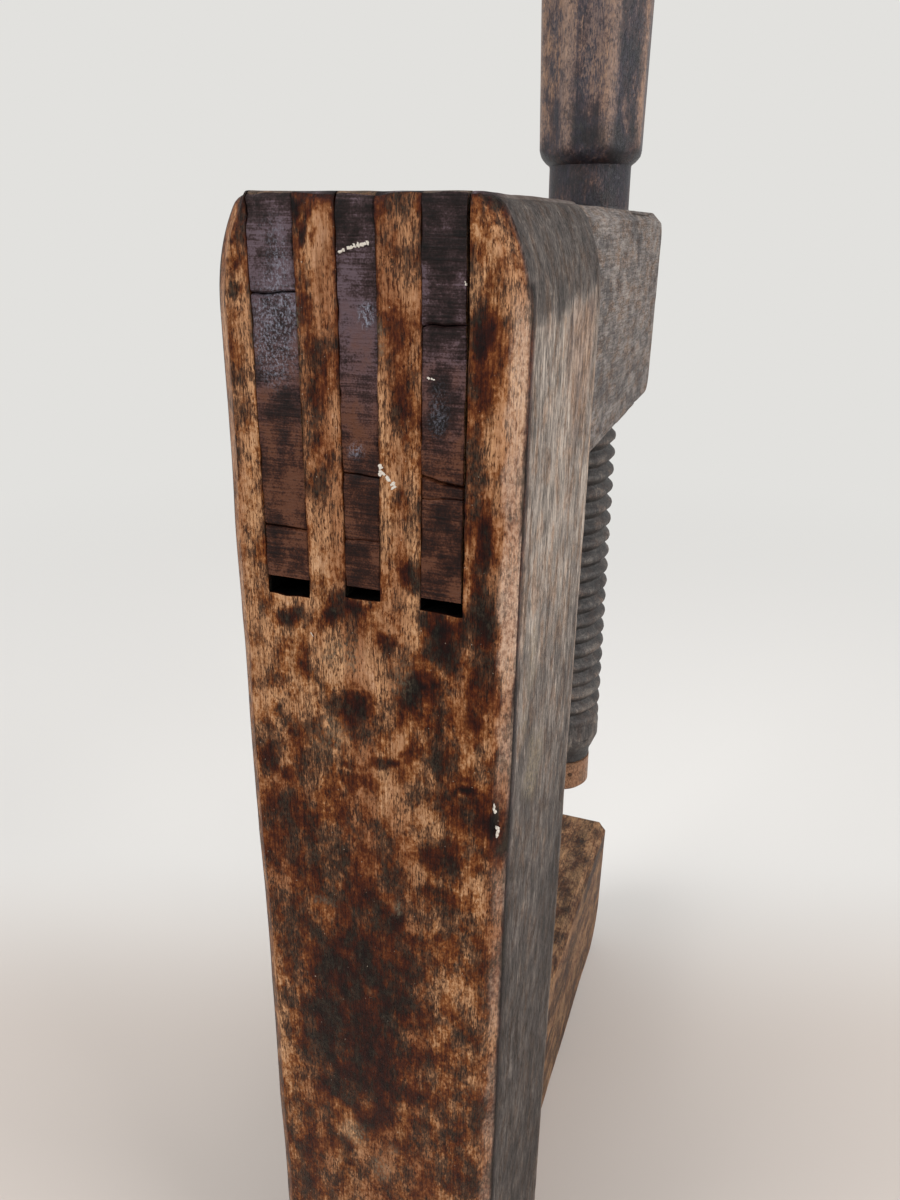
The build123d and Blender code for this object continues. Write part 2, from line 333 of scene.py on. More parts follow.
def arm_shape(upper):
    """One arm: built from its outside face inwards, then set at the top or the foot."""
    comb = COMB_LINES[in_tenon(COMB_LINES, COMB_EDGES[[0, -1]], 0.01)]
    fan = HOLE * np.tan(np.radians(np.arange(-45, 46, 7.5)))
    across = fan + SCREW_X if upper else np.array([])
    across = np.array([x for x in across if np.min(np.abs(comb - x)) > 0.28])
    rims = np.array([1.6, 2.4, ARM_CHAMFER, 4.6])
    xs = ruled([*comb, *across, *(COMB_EDGES[0] + rims), *(COMB_EDGES[-1] - rims)], 1.3)
    tips = TIP - np.array([0, 0.6, 1.6, 3.2, 5, 7, 9, 11, 13, 15, 17, 20])
    in_comb = ruled([*(BACK + np.array([0, 0.25, 0.8, 2.0, 4.0])), FRONT - 0.3], 6.0)
    beyond = ruled([FRONT, FRONT + 0.3, *(fan + SCREW_Y if upper else []), *tips], 2.2)
    ys = np.concatenate([in_comb, beyond])
    marks = [0, 0.4, 1.0, 1.8, 3.2, 5, 7, 9, *(ARM_ROOT - np.array([3.2, 1.4, 0.5, 0]))]
    if upper:
        for _, z, _, _ in TENON_CRACKS:
            marks += [TOP - z + d for d in (-0.5, -0.14, 0, 0.14, 0.5)]
    hs = ruled(marks, 1.05 if upper else 1.6)
    cx, cy, _ = cell_centres(xs, ys, hs)
    solid = cy > FRONT
    for tenon in TENONS:
        solid |= in_tenon(cx, tenon)
    if upper:
        solid &= ~((np.abs(cx - SCREW_X) < HOLE) & (np.abs(cy - SCREW_Y) < HOLE))
    flat, quads, axes = grid_shell(xs, ys, hs, solid)
    p = flat.copy()
    share = np.clip((p[:, 1] - FRONT) / (TIP - FRONT), 0, 1)
    p[:, 2] *= 1 - (1 - ARM_TIP / ARM_ROOT) * share
    height = ARM_ROOT - (ARM_ROOT - ARM_TIP) * share
    clear = np.clip((p[:, 1] - FRONT) / 0.3, 0, 1)
    outside_radius, jaw_radius = UPPER_TIP_RADII if upper else LOWER_TIP_RADII
    # Chamfers all round both sides, then the rounded tip
    tip, out, jaw = TIP - p[:, 1], p[:, 2], height - p[:, 2]
    size = ARM_CHAMFER + 0.5 * noise(p, (60.0, 14.0, 14.0), 3)[:, 0]
    level = np.minimum(np.minimum(tip, out), jaw)
    gap = np.minimum(p[:, 0] - COMB_EDGES[0], COMB_EDGES[-1] - p[:, 0])
    move = cut_corner(gap, level, size) * clear
    p[:, 0] += np.where(p[:, 0] < SCREW_X, move, -move)
    jaw_side = jaw < out
    beside = np.where(jaw_side, jaw, out)
    radius = np.where(jaw_side, jaw_radius, outside_radius)
    u, v = radius - tip, radius - beside
    corner = (u > 0) & (v > 0)
    reach = np.maximum(u, v)
    shrink = np.where(corner, (reach - move) / np.maximum(np.hypot(u, v), 1e-9), 1)
    tip_out = np.where(corner, radius - u * shrink, tip + move * (tip <= beside))
    beside_out = np.where(corner, radius - v * shrink, beside + move * (tip > beside))
    p[:, 1] = TIP - tip_out
    p[:, 2] = np.where(jaw_side, height - beside_out, beside_out)
    if upper:
        p = bore(flat, p, height)
        p[:, 2] = TOP - p[:, 2]
        quads = quads[:, ::-1]
    at_tenon = flat[:, 1] < FRONT + 0.01
    p = np.where((p[:, 1] < FRONT + 0.01)[:, None], weather(p), p)
    p = part_gaps(p, flat[:, 0], at_tenon & (flat[:, 1] < FRONT - 0.01), 1)
    p = edge_wear(flat, p, at_tenon)
    if upper:
        p = tenon_ends(flat, p)
    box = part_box("upper_arm" if upper else "lower_arm")
    return flat, relief(p, *(np.array(corner) / MM for corner in box)), quads, axes


def bore(flat, p, height):
    """Makes the square hole round, leans it with the screw, and cuts the female thread."""
    q = flat[:, :2] - (SCREW_X, SCREW_Y)
    square = np.max(np.abs(q), axis=1)
    keep = np.clip((square - HOLE) / (HOLE_REACH - HOLE), 0, 1)
    away = np.maximum(np.hypot(*q.T), 1e-9)
    depth = p[:, 2] / math.cos(LEAN)
    mouth = np.clip(1.5 - np.minimum(p[:, 2], height - p[:, 2]), 0, None)
    turn = -depth / PITCH - np.arctan2(q[:, 1], q[:, 0]) / (2 * math.pi)
    inside = step_between(np.minimum(p[:, 2], height - p[:, 2]), 0.5, 5)
    cut = (CREST - ROOT) * thread_height(turn) - (CREST - ROOT)
    radius = BORE + mouth + inside * cut * (square < HOLE + 0.01) + (square - HOLE)
    scale = keep + (1 - keep) * radius / away
    moved = q * scale[:, None]
    near = keep < 1
    p[near, 0] = SCREW_X + moved[near, 0] + (1 - keep[near]) * math.tan(LEAN) * p[near, 2]
    p[near, 1] = SCREW_Y + moved[near, 1]
    return p


def tenon_ends(flat, p):
    """The ends of the upper tenons lie a little below the fingers, cracked along the rings."""
    on_end = np.clip(1 - (flat[:, 1] - BACK) / 4, 0, 1)
    for number, borders in enumerate(TENONS):
        inside = on_end * in_tenon(flat[:, 0], borders, 0.01)
        p[:, 1] += TENON_SUNK[number] * inside
        for tenon, z, rise, depth in TENON_CRACKS:
            if tenon == number:
                away = np.abs(TOP - flat[:, 2] - z)
                p[:, 1] += depth * np.clip(1 - away / 0.2, 0, 1) * inside
                bend = rise * (flat[:, 0] - borders.mean()) / 4
                bend += 0.3 * noise(flat, (2.2, 30, 90.0), z)[:, 0]
                p[:, 2] += bend * np.clip(1 - away / 3, 0, 1) * inside
    return p


def lathe(profile, around, radius_at):
    """A turned shape: rows of (radius, height) from pole to pole, facing outwards."""
    angles = np.arange(around) * 2 * math.pi / around
    rows = [np.array([[0, 0, profile[0][1]]])]
    for radius, height in profile[1:-1]:
        r = radius_at(radius, angles, height)
        level = np.full(around, height)
        rows.append(np.stack([r * np.cos(angles), r * np.sin(angles), level], axis=1))
    rows.append(np.array([[0, 0, profile[-1][1]]]))
    points = np.concatenate(rows)
    faces = []
    last = len(points) - 1
    for i in range(around):
        j = (i + 1) % around
        faces.append((0, 1 + i, 1 + j))
        for row in range(len(profile) - 3):
            a = 1 + row * around
            faces.append((a + i, a + around + i, a + around + j, a + j))
        a = 1 + (len(profile) - 3) * around
        faces.append((a + i, last, a + j))
    return points, faces


def octagon(angles, corner):
    """Distance to the handle's flats, with its corners rubbed down."""
    part = (angles - HANDLE_TURN) % (math.pi / 4) - math.pi / 8
    flats = corner * math.cos(math.pi / 8) / np.cos(part)
    return np.minimum(flats, corner - 0.45)


def handle_radius(radius, angles, height):
    """The turned radius, held inside the octagon that widens towards the top."""
    share = (height - NECK_LENGTH) / (HANDLE_TOP - NECK_LENGTH)
    if share < 0:
        return np.full(len(angles), radius)
    corner = HANDLE_FOOT + (HANDLE_HEAD - HANDLE_FOOT) * min(share, 1)
    return np.minimum(radius, octagon(angles, corner))


def handle_profile():
    """The end's sunk centre and face, the round head, the flats, the foot and the neck."""
    rows = [(0, HANDLE_TOP - 0.9), (0.9, HANDLE_TOP - 0.9), (1.6, HANDLE_TOP - 0.35)]
    rows += [(r, HANDLE_TOP - 0.1) for r in (2.6, 5, 7.5, 10, 12, 13.4)]
    for angle in np.radians(np.arange(90, -1, -9)):
        drop = HEAD_CURVE * (1 - math.sin(angle)) + 0.1
        rows.append((HANDLE_HEAD - HEAD_CURVE * (1 - math.cos(angle)), HANDLE_TOP - drop))
    foot_start = NECK_LENGTH + FOOT_CURVE
    for height in np.arange(HANDLE_TOP - HEAD_CURVE - 2, foot_start, -2.2):
        rows.append((HANDLE_HEAD, height))
    drop = HANDLE_FOOT - NECK
    arc = (drop**2 + FOOT_CURVE**2) / (2 * drop)
    for below in np.linspace(0, FOOT_CURVE, 9):
        rows.append((HANDLE_FOOT - arc + math.sqrt(arc**2 - below**2), foot_start - below))
    rows += [(NECK - 0.1, h) for h in (12.9, 10.5, 8, 5.5, 3, 1, 0.2)]
    rows += [(CREST - 0.35, -0.5), (NECK - 1, -1.6), (0, -1.6)]
    return rows


def nose_profile():
    """Below the thread: plain end, cone, collar, and the grooved spigot in the shoe."""
    low = THREAD_TOP - THREAD_LENGTH
    return [
        (0, low + 0.6), (CREST - 1, low + 0.6), (CREST - 0.1, low), (CREST - 0.15, -201),
        (13.4, -202.8), (12.4, -205.4), (11.4, -207.6), (11.1, -208.2), (11.15, -209.5),
        (11.1, -211), (10.6, -211.5), (6.5, -211.5), (6.5, -213), (6.5, -215.75),
        (4.6, -215.75), (4.6, -218.25), (6.5, -218.25), (6.5, -220.4), (5.9, -221), (0, -221),
    ]


SCREW_PLACE = Matrix(
    (
        (math.cos(LEAN), 0, -math.sin(LEAN), SCREW_X),
        (0, 1, 0, SCREW_Y),
        (math.sin(LEAN), 0, math.cos(LEAN), TOP),
        (0, 0, 0, 1),
    )
)


def place_on_screw(points):
    """From the screw's own axis to its place in the frame."""
    turn = np.array(SCREW_PLACE)
    return points @ turn[:3, :3].T + turn[:3, 3]


# Materials


def hex_colour(text):
    """An sRGB hex colour in the linear values that shaders use."""
    parts = [int(text[i : i + 2], 16) / 255 for i in (0, 2, 4)]
    return (*(c / 12.92 if c <= 0.04045 else ((c + 0.055) / 1.055) ** 2.4 for c in parts), 1.0)


def add(tree, kind, inputs=None, **settings):
    """Adds a node; inputs holds values, or the sockets that are linked to it."""
    made = tree.nodes.new(kind)
    for name, value in settings.items():
        setattr(made, name, value)
    for key, value in (inputs or {}).items():
        if isinstance(value, bpy.types.NodeSocket):
            tree.links.new(value, made.inputs[key])
        else:
            made.inputs[key].default_value = value
    return made


# Kinds of step: a type of node, its sockets in the order of the inputs, and its settings
PLUS, MINUS, TIMES, OVER, TIMES_PLUS, LOWER, HIGHER, SAME, PART, SWING, COSINE, SINE = (
    ("ShaderNodeMath", (0, 1, 2), {"operation": operation})
    for operation in (
        "ADD", "SUBTRACT", "MULTIPLY", "DIVIDE", "MULTIPLY_ADD", "MINIMUM", "MAXIMUM",
        "COMPARE", "FRACT", "PINGPONG", "COSINE", "SINE",
    )
)
BLEND = ("ShaderNodeMix", (0, 6, 7), {"data_type": "RGBA"})
FILTER = ("ShaderNodeMix", (0, 6, 7), {"data_type": "RGBA", "blend_type": "MULTIPLY"})
GAMMA = ("ShaderNodeGamma", (0, 1), {})
RANGE = ("ShaderNodeMapRange", (0, 1, 2, 3, 4), {})
SMOOTH = ("ShaderNodeMapRange", (0, 1, 2, 3, 4), {"interpolation_type": "SMOOTHSTEP"})
PLACED, TURNED = ("ShaderNodeMapping", (0, 2, 3), {}), ("ShaderNodeMapping", (0, 2), {})
STRETCHED = ("ShaderNodeMapping", (0, 3), {})
SPLIT, JOINED = ("ShaderNodeSeparateXYZ", (0,), {}), ("ShaderNodeCombineXYZ", (0, 1, 2), {})
NOISE = ("ShaderNodeTexNoise", ("Vector", "Scale", "Detail", "Roughness"), {})
BUMP = ("ShaderNodeBump", ("Height", "Strength", "Distance"), {})
SHADER_INPUTS = ("Base Color", "Roughness", "Normal", "IOR", "Specular IOR Level")
SHADER = ("ShaderNodeBsdfPrincipled", SHADER_INPUTS, {})
MIXED_SHADER = ("ShaderNodeMixShader", (0, 1, 2), {})
OUTPUT = ("ShaderNodeOutputMaterial", (0,), {})


def add_steps(tree, steps):
    """Adds the nodes of a table of steps: name, kind and inputs.

    A text among the inputs is the name of an earlier step, or of one of its outputs.
    """
    made = {}
    for step, (kind, sockets, settings), *inputs in steps:
        linked = [made[v] if isinstance(v, str) else v for v in inputs]
        node = add(tree, kind, dict(zip(sockets, linked)), **settings)
        outputs = [output for output in node.outputs if output.enabled]
        made.update({f"{step}.{output.name}": output for output in outputs})
        made[step] = outputs[0] if outputs else None


def sum_steps(name, start, shares):
    """Steps that add up earlier ones, each times its share, from a start value."""
    steps = []
    for number, (source, share) in enumerate(shares.items(), 1):
        step = name if number == len(shares) else f"{name} {number}"
        steps.append((step, TIMES_PLUS, source, share, start))
        start = step
    return steps


def make_material(name, steps):
    """A material whose nodes are given by a table of steps."""
    material = bpy.data.materials.new(name)
    material.use_nodes = True
    material.node_tree.nodes.clear()
    add_steps(material.node_tree, steps)
    return material


def surface_steps(turn, patterns):
    """Millimetres along a piece, its painted finish, and noises in them: each noise has
    its bumps per millimetre, its stretch, its detail and its roughness."""
    steps = [
        ("place", ("ShaderNodeTexCoord", (), {})),
        ("mm", PLACED, "place.Object", turn, (1 / MM,) * 3),
        ("finish", ("ShaderNodeAttribute", (), {"attribute_name": "finish"})),
        ("is", ("ShaderNodeSeparateColor", (0,), {}), "finish.Color"),
    ]
    for name, (scale, stretch, detail, rough) in patterns.items():
        steps.append((name + " mm", STRETCHED, "mm", stretch))
        steps.append((name, NOISE, name + " mm", scale, detail, rough))
    return steps


def shader_steps(specular, bump):
    """The last steps of each material, from its colour, roughness and height."""
    return [
        ("bump", BUMP, "height", 1.0, bump * MM),
        ("shader", SHADER, "colour", "roughness", "bump", 1.5, specular),
        ("output", OUTPUT, "shader"),
    ]


# Looks of the woods, in sRGB hex. The tint is what one layer of grime lets through, the
# soot what it lets through where it is sooty, and the gloss the specular level
# The rubbed colour serves for rubbed wear and for the painted highlight on the spine's chamfers
BEECH = {
    "light": "B38660", "mid": "8C5C3C", "fibre": "5E3A20", "tint": "C8AF92", "soot": "BCB2AE",
    "weathered": "B0A397", "dirty": "5E5751", "dust": "8A7C66", "rubbed": "CDAE96",
    "speck": "C9BBA6", "rough": 0.5, "gloss": 0.12, "grain": (0, 0, 0),
}
ARM_BEECH = {
    "light": "936A46", "mid": "765637", "fibre": "4E3825", "tint": "C2B1A3", "soot": "BBB1AA",
    "weathered": "8D8986", "dirty": "64605D", "dust": "857A6C", "rubbed": "A08872",
    "speck": "A89E92", "rough": 0.55, "gloss": 0.12, "grain": (math.pi / 2, 0, 0),
}
HORNBEAM = {
    "light": "86664F", "mid": "64514A", "fibre": "4C4448", "tint": "B2AEBC", "soot": "ABAFCC",
    "weathered": "747069", "dirty": "454341", "dust": "77706B", "rubbed": "9A7C68",
    "speck": "8C8279", "rough": 0.42, "gloss": 0.38, "grain": (0, 0, 0),
}
SHOE_WOOD = {
    "light": "6C4029", "mid": "553120", "fibre": "46291B", "tint": "C4AEA0", "soot": "B9AEA8",
    "weathered": "665246", "dirty": "3B2E27", "dust": "7C6C5E", "rubbed": "9A7458",
    "speck": "9A8474", "rough": 0.5, "gloss": 0.2, "grain": (0, 0, 0),
}

# Tone varies over 8 mm across the grain, fibres are 0.4 mm wide, flecks 0.2 mm by 1.3 mm
WOOD_PATTERNS = {
    "tone": (0.12, (1, 1, 0.12), 3, 0.6), "fibre": (2.2, (1, 1, 0.04), 3, 0.6),
    "fleck": (4.2, (1, 1, 0.17), 3, 0.6), "crowd": (0.28, (1, 1, 0.5), 4, 0.65),
    "grit": (1.3, (1, 1, 0.6), 7, 0.78), "cloud": (0.17, (1, 1, 0.6), 12, 0.74),
    "streak": (1.9, (1, 1, 0.06), 6, 0.75), "speck": (1.9, (1, 1, 1), 1, 0.5),
}


def worn_wood(name, look):
    """Sawn and planed wood, handled for generations: fine fibres along the grain, short
    dark flecks, and layers of grime that turn it amber, then red-brown, then black; the same
    layers paint the shade in the slots black."""
    shade = {key: hex_colour(value) for key, value in look.items() if isinstance(value, str)}
    steps = [
        *surface_steps(look["grain"], WOOD_PATTERNS),
        # Layers of grime, which also carry the painted shade in the slots: thick where the finish
        # marks them, broken up by clouds, grit and fibres
        *sum_steps("grime", -13.3, {"cloud": 16.0, "is.Red": 7.5, "grit": 8.3, "fibre": 1.7}),
        ("thin grime", TIMES, "grime", 0.22),
        ("all grime", HIGHER, "grime", "thin grime"),
        ("crowded", TIMES_PLUS, "crowd", 0.5, "fleck"),
        ("flecked", SMOOTH, "crowded", 0.79, 0.9, 0.0, 2.4),
        ("layers", PLUS, "all grime", "flecked"),
        ("soot share", SMOOTH, "crowd", 0.44, 0.58),
        ("layer", BLEND, "soot share", shade["tint"], shade["soot"]),
        ("tint", GAMMA, "layer", "layers"),
        ("tone share", SMOOTH, "tone", 0.36, 0.64),
        ("fibre share", SMOOTH, "fibre", 0.43, 0.64, 0.0, 0.55),
        ("toned", BLEND, "tone share", shade["light"], shade["mid"]),
        ("wood", BLEND, "fibre share", "toned", shade["fibre"]),
        ("grimy", FILTER, 1.0, "wood", "tint"),
        # Dust dulls some of it
        ("dust share", SMOOTH, "crowd", 0.47, 0.66, 0.0, 0.13),
        ("dust break", SMOOTH, "grit", 0.42, 0.62),
        ("dusty", TIMES, "dust share", "dust break"),
        ("dulled", BLEND, "dusty", "grimy", shade["dust"]),
        # Dry sides have gone grey in streaks along the grain
        ("streak share", SMOOTH, "streak", 0.38, 0.62),
        ("streaked", BLEND, "streak share", shade["weathered"], shade["dirty"]),
        ("bare share", SMOOTH, "crowd", 0.46, 0.66, 0.0, 0.32),
        ("bare", BLEND, "bare share", "streaked", shade["light"]),
        ("half layers", TIMES, "layers", 0.36),
        ("side tint", GAMMA, hex_colour("B1B0B2"), "half layers"),
        ("side", FILTER, 1.0, "bare", "side tint"),
        ("aged", BLEND, "is.Green", "dulled", "side"),
        ("lichen break", TIMES, "is.Blue", "dust break"),
        ("crusted", BLEND, "lichen break", "aged", shade["dust"]),
        # Sparse pale specks: partly dust, partly painted glints of light
        ("speck share", SMOOTH, "speck", 0.79, 0.84, 0.0, 0.7),
        ("specked", BLEND, "speck share", "crusted", shade["speck"]),
        # Rubbed wear, and on the spine's chamfers a painted highlight, in the rubbed colour
        ("rubbed share", SMOOTH, "grit", 0.36, 0.6, 1.0, 0.2),
        ("rubbed", TIMES, "finish.Alpha", "rubbed share"),
        ("colour", BLEND, "rubbed", "specked", shade["rubbed"]),
        # Grime and rubbed edges shine, dry wood doesn't
        ("matt", RANGE, "layers", 0.5, 4.0, look["rough"], look["rough"] - 0.14),
        *sum_steps("roughness", "matt", {"is.Green": 0.2, "finish.Alpha": -0.2, "grit": 0.16}),
        *sum_steps("height", 0.0, {"cloud": 1.0, "flecked": -0.12, "fibre": 0.35, "grit": 0.5}),
        *shader_steps(look["gloss"], 0.3),
    ]
    return make_material(name, steps)


# Growth rings show as lines about 0.6 mm apart, pores as dots of 0.3 mm
END_PATTERNS = {
    "rings": (2.1, (0.05, 0.05, 1), 5, 0.7), "pores": (3.0, (1, 1, 1), 3, 0.5),
    "cloud": (0.22, (1, 1, 0.8), 8, 0.65), "grit": (2.4, (1, 1, 0.7), 7, 0.75),
}


def end_grain(name):
    """Sawn end grain soaked with old oil: dark, with rings as fine lines across it, and lumpy
    crusted patches speckled with painted blue-white glints of light."""
    steps = [
        *surface_steps((0, 0, 0), END_PATTERNS),
        *sum_steps("oil", -12.3, {"cloud": 12.0, "is.Red": 4.6, "rings": 8.0, "pores": 5.5}),
        ("some oil", HIGHER, "oil", 0.0),
        ("kept", TIMES_PLUS, "is.Green", -0.75, 1.0),
        ("layers", TIMES, "some oil", "kept"),
        ("tint", GAMMA, hex_colour("BCAEA8"), "layers"),
        ("high", SPLIT, "mm"),
        ("ragged", TIMES_PLUS, "cloud", 60.0, "high.Z"),
        ("lower", SMOOTH, "ragged", 352.0, 318.0),
        ("sawn", BLEND, "lower", hex_colour("584950"), hex_colour("583524")),
        ("wood", BLEND, "is.Green", "sawn", hex_colour("6E655E")),
        ("soaked", FILTER, 1.0, "wood", "tint"),
        # Painted highlight: pale blue-grey specks on the marked patches stand for glints of light
        ("crust break", SMOOTH, "grit", 0.47, 0.62, 0.0, 0.75),
        ("crust", TIMES, "crust break", "is.Blue"),
        ("colour", BLEND, "crust", "soaked", hex_colour("9598A6")),
        ("rough 1", SMOOTH, "cloud", 0.35, 0.65, 0.36, 0.55),
        ("roughness", TIMES_PLUS, "is.Blue", -0.16, "rough 1"),
        ("height 1", TIMES_PLUS, "cloud", 1.2, "rings"),
        ("crusty", TIMES_PLUS, "is.Blue", 1.6, 0.3),
        ("lumps", TIMES, "grit", "crusty"),
        ("height", PLUS, "height 1", "lumps"),
        *shader_steps(0.16, 0.25),
    ]
    return make_material(name, steps)


def dried_paint(name):
    """Splashes of white paint, dried matt and a little dirty."""
    steps = [
        *surface_steps((0, 0, 0), {"grit": (2.0, (1, 1, 1), 4, 0.6)}),
        ("colour", BLEND, "grit", hex_colour("E4DED4"), hex_colour("A89C8C")),
        ("roughness", RANGE, "grit", 0.0, 1.0, 0.45, 0.65),
        ("height", TIMES, "grit", 1.0),
        *shader_steps(0.4, 0.1),
    ]
    return make_material(name, steps)


def rusted_iron(name):
    """Drawn iron pin ends, rusted brown and matt."""
    steps = [
        *surface_steps((0, 0, 0), {"rust": (0.9, (1, 1, 1), 5, 0.6)}),
        ("colour", BLEND, "rust", hex_colour("3A2A22"), hex_colour("6B4A35")),
        ("roughness", RANGE, "rust", 0.0, 1.0, 0.6, 0.8),
        ("height", TIMES, "rust", 1.0),
        *shader_steps(0.5, 0.1),
    ]
    return make_material(name, steps)


# Finishes

# Broad areas of grime on the back of the spine, and of cleaner wood where the amount is
# below zero: x, z, half width, half height, amount
BACK_AREAS = (
    (19, 243, 15, 36, 0.28), (-2, 150, 19, 52, 0.34), (4, 175, 16, 26, 0.12),
    (-20, 200, 9, 24, 0.12), (7.4, 303, 4.2, 22, 0.3), (-8.1, 307, 4.2, 20, 0.26),
    (-25, 312, 5, 26, 0.14), (24, 312, 5, 18, 0.24), (23, 272, 5, 17, 0.24),
    (-2, 236, 14, 9, 0.2), (-4, 252, 8, 5.5, -0.3), (7, 217, 12, 7, -0.2),
    (-20, 250, 8, 14, 0.04), (26, 205, 5, 14, -0.12), (22, 186, 7, 16, 0.14),
    (-27, 160, 4, 60, -0.12), (-8, 275, 4, 7, -0.25), (7.5, 326, 4.5, 10, -0.2),
    (-8, 330, 4, 6, -0.12), (27.5, 292, 3, 30, -0.15), (7.5, 279, 4, 6, -0.12),
    (-2, 105, 14, 18, -0.05), (0, 50, 26, 40, 0.1), (12, 248, 5, 4, 0.3),
)

# Stains with ragged edges, in the same terms
BACK_STAINS = (
    (-23.5, 331, 3, 5, 0.35), (-24.2, 325, 1.2, 1.4, 0.6), (-24.5, 320.5, 1.2, 1.4, 0.6),
    (-10.5, 318, 2.2, 4, 0.4), (-9.5, 302, 1.6, 5, 0.3), (-9.4, 286, 2.6, 4, 0.4),
    (8.9, 298, 1.3, 8, 0.12), (9.2, 270.2, 2.6, 3, 0.6), (5.9, 326, 1.3, 0.8, 0.25),
    (23, 316, 2, 5, 0.5), (24, 281, 1.8, 8, 0.5), (23.3, 267, 2.8, 5, 0.3),
    (-6.4, 263, 3, 4, 0.5), (17, 258, 5.5, 6.5, 0.35), (4.8, 256.3, 2.6, 2.4, 0.55),
    (-4, 240.5, 10, 4, 0.4), (-23.5, 224, 2.8, 5, 0.4), (-19.7, 221.8, 1.6, 2.5, 0.4),
    (15.5, 235.5, 1.2, 8.5, 0.25), (23.3, 242, 2.3, 2.4, 0.45), (-4.5, 223, 4.5, 2.4, 0.35),
    (20.8, 226.2, 3, 1.2, 0.45), (28.2, 221, 2.4, 5.5, 0.9), (17.7, 207, 6, 5, 0.35),
    (16, 198, 4, 2.5, 0.35), (-17, 259, 3.8, 3.6, 0.6), (-22.5, 259.5, 1.6, 2.2, 0.3),
    (-1.7, 262.5, 3, 1.6, 0.4), (16, 262.5, 5, 2.4, 0.5), (9.5, 246, 2, 5, 0.35),
    (-14, 250, 1.6, 5, 0.35),
)

# Stains on the ends of the upper tenons, in the same terms
TENON_STAINS = ((15, 302, 4, 6, 0.5), (-17, 298, 4, 5, 0.3), (16, 325, 5, 12, 0.3))

# Cuts and scratches in the back, filled with grime: from one end to the other, width, amount
BACK_CUTS = (
    (-11.7, 335, -9.8, 329, 0.45, 0.9), (-9.9, 335.4, -7.8, 329.1, 0.35, 0.6),
    (-6.1, 226.4, 4.2, 227.8, 0.5, 0.4), (18.8, 225.3, 23.9, 227, 0.4, 0.7),
    (0.9, 229.5, 6.3, 229, 0.4, 0.6), (-20.9, 237.8, -18.2, 231.1, 0.5, 0.4),
    (-8.7, 230.2, -3.6, 229.7, 0.4, 0.35), (9.9, 246.9, 15.8, 249.3, 0.4, 0.4),
)

# Dusty places on the back, and on the upper tenons' ends crusted patches with painted glints of
# light: x, z, half width, half height, amount
BACK_MARKS = (
    (4, 313, 0.9, 3.8, 0.5), (15, 302, 2.5, 5, 0.35), (-12.8, 187.8, 4.3, 1.7, 0.5),
    (6.2, 191.2, 1.4, 2.8, 0.5), (-6.7, 115.5, 3.8, 5.2, 0.6), (0.6, 104.8, 2.8, 5.4, 0.6),
    (4.3, 113.5, 2.4, 3.3, 0.5), (-16.8, 316, 5.5, 14, 0.8), (-16.6, 316.5, 4.5, 6, 1),
    (1, 317.2, 1.5, 2.1, 1.6), (-4.5, 251.5, 6, 4, 0.4), (-1.3, 293.5, 1.9, 1.6, 0.7),
    (8, 250, 3, 6, 0.3), (-8, 232, 6, 5, 0.3),
)

# Pale lichen on the right side of the spine: depth from the back in place of x
SIDE_MARKS = ((16, 250, 5, 9, 0.6), (12, 235, 3, 5, 0.5), (22, 221, 7, 10, 0.9))

# Splashes of paint on the back: from one end to the other, width and number of spots
PAINT = (
    (-3.3, 327.2, 2.4, 329, 1.1, 9), (3.3, 291, 6.4, 287.2, 1.6, 7),
    (28.2, 218.6, 28.3, 216.4, 0.8, 3), (27.4, 224.2, 27.8, 222.4, 0.6, 3),
    (12.8, 307.6, 14.2, 307.2, 0.5, 3), (19.2, 323.4, 19.4, 322.6, 0.4, 2),
    (-12.2, 255.6, -11.6, 254.8, 0.3, 2),
)


